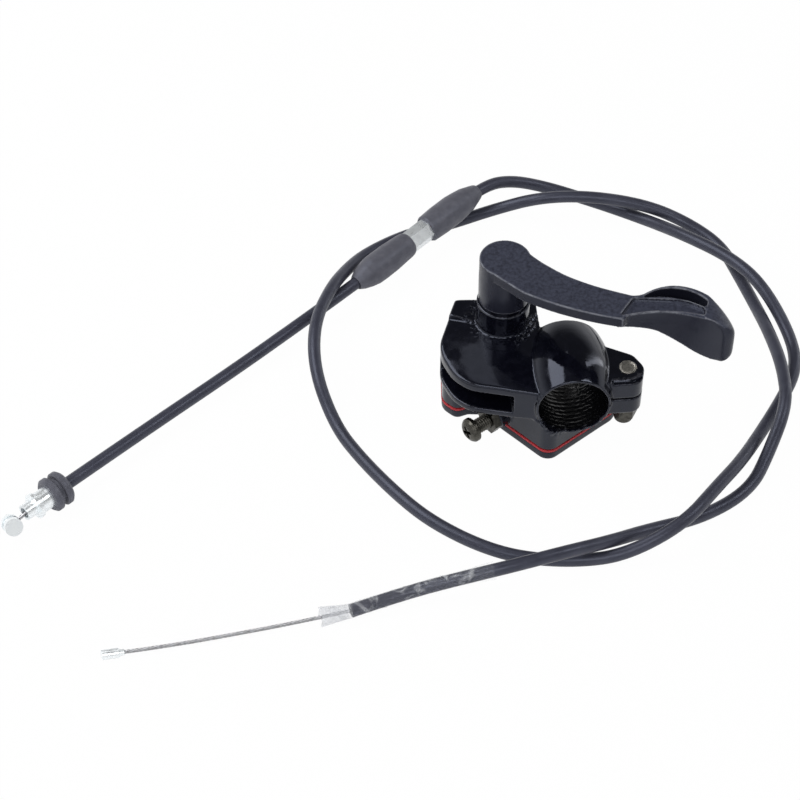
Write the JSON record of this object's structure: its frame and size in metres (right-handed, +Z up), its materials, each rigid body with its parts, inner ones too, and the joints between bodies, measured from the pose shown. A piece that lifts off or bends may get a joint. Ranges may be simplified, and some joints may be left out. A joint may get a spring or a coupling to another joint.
{
  "type": "thumb throttle lever",
  "caption": "Thumb throttle for a 22 mm handlebar: black die-cast clamp body, cranked lever with a hollowed pad, travel limiter screw and a looped control cable with an in-line adjuster.",
  "frame": {"origin": "centre of the handlebar bore in the plane of its front mouth", "axes": "+Y runs along the bar into the bore from its mouth, +Z is up, away from the bottom cover, and +X is the side of the pinch bolt"},
  "size_m": [0.2649, 0.196, 0.0592],
  "materials": {
    "black_casting": "gloss",
    "lever_paint": "satin",
    "cover_black": "satin",
    "gasket_red": "matte",
    "dark_zinc": "satin",
    "steel": "satin",
    "bronze": "satin",
    "bright_zinc": "bright",
    "casing_black": "gloss",
    "rubber_black": "matte",
    "clear_film": "clear"
  },
  "bodies": {
    "body": {"housing": "black_casting", "cover_gasket": "gasket_red", "bottom_cover": "cover_black", "cover_screws": "dark_zinc", "clamp_bolt": "dark_zinc", "clamp_washer": "dark_zinc", "pivot_bush": "bronze", "return_spring": "steel", "limiter_nut": "dark_zinc", "barrel_nipple": "bright_zinc", "wire_short": "steel", "cable_ferrule": "bright_zinc", "cable_grommet": "rubber_black", "casing_short": "casing_black", "boot_lower": "rubber_black", "adjuster_stem": "bright_zinc", "adjuster_nut": "bright_zinc", "boot_upper": "rubber_black", "casing_long": "casing_black", "clear_sleeve": "clear_film", "wire_bare": "steel", "end_nipple": "bright_zinc"},
    "lever": {"thumb_lever": "lever_paint", "pivot_shaft": "steel", "cable_arm": "bright_zinc", "shaft_washer": "steel", "shaft_nut": "steel"},
    "limiter": {"limiter_screw": "dark_zinc"}
  },
  "joints": [
    {"name": "lever_turn", "type": "hinge", "parent": "body", "child": "lever", "pos_m": [-0.0194, 0.0317, 0.019], "axis": [0, 0, -1], "range_deg": [0, 48], "stiffness_Nm_per_rad": 0.12, "springref_deg": -29.79},
    {"name": "limiter_travel", "type": "slide", "parent": "body", "child": "limiter", "axis": [-0.8387, -0.5446, 0], "range_m": [0, 0.003]}
  ]
}
